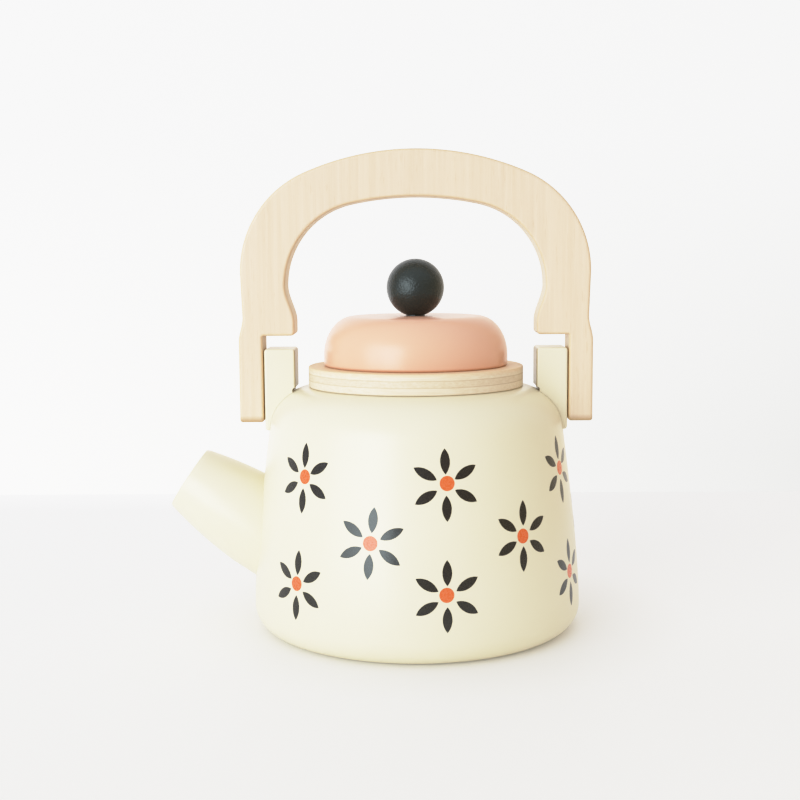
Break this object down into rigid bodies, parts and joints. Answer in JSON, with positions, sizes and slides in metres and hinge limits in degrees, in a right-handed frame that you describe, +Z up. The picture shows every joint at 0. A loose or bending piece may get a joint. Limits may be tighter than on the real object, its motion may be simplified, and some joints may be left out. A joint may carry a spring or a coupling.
{
  "type": "wooden toy kettle",
  "caption": "Toy kettle of turned wood with a lift-off lid, a ball knob, a stubby spout and an arched handle that swings on side pins.",
  "frame": {"origin": "centre of the flat base, on the body's axis", "axes": "+Z up along the body's axis, spout towards -X, handle pivot line parallel to X"},
  "size_m": [0.1315, 0.102, 0.1473],
  "materials": {
    "cream_paint": "satin cream paint on wood",
    "peach_paint": "satin peach paint on wood",
    "charcoal_paint": "satin charcoal paint on wood",
    "orange_print": "orange print on painted wood",
    "pale_wood": "bare pale wood, clear matt varnish",
    "plywood": "bare birch plywood, clear matt varnish",
    "dowel_wood": "bare beech dowel"
  },
  "bodies": {
    "kettle": {"body": "cream_paint", "collar_ring": "plywood", "spout": "cream_paint", "spout_dowel": "dowel_wood", "left_ear": "cream_paint", "right_ear": "cream_paint", "left_ear_dowel": "dowel_wood", "right_ear_dowel": "dowel_wood"},
    "handle": {"handle": "pale_wood", "left_pivot_pin": "dowel_wood", "right_pivot_pin": "dowel_wood"},
    "lid": {"lid": "peach_paint", "lid_plug": "plywood", "lid_knob": "charcoal_paint", "knob_dowel": "dowel_wood"}
  },
  "joints": [
    {"name": "handle_swing", "type": "hinge", "parent": "kettle", "child": "handle", "pos_m": [0, 0, 0.079], "axis": [1, 0, 0], "range_deg": [-85, 85]},
    {"name": "lid_lift", "type": "slide", "parent": "kettle", "child": "lid", "axis": [0, 0, 1], "range_m": [0, 0.016]}
  ]
}
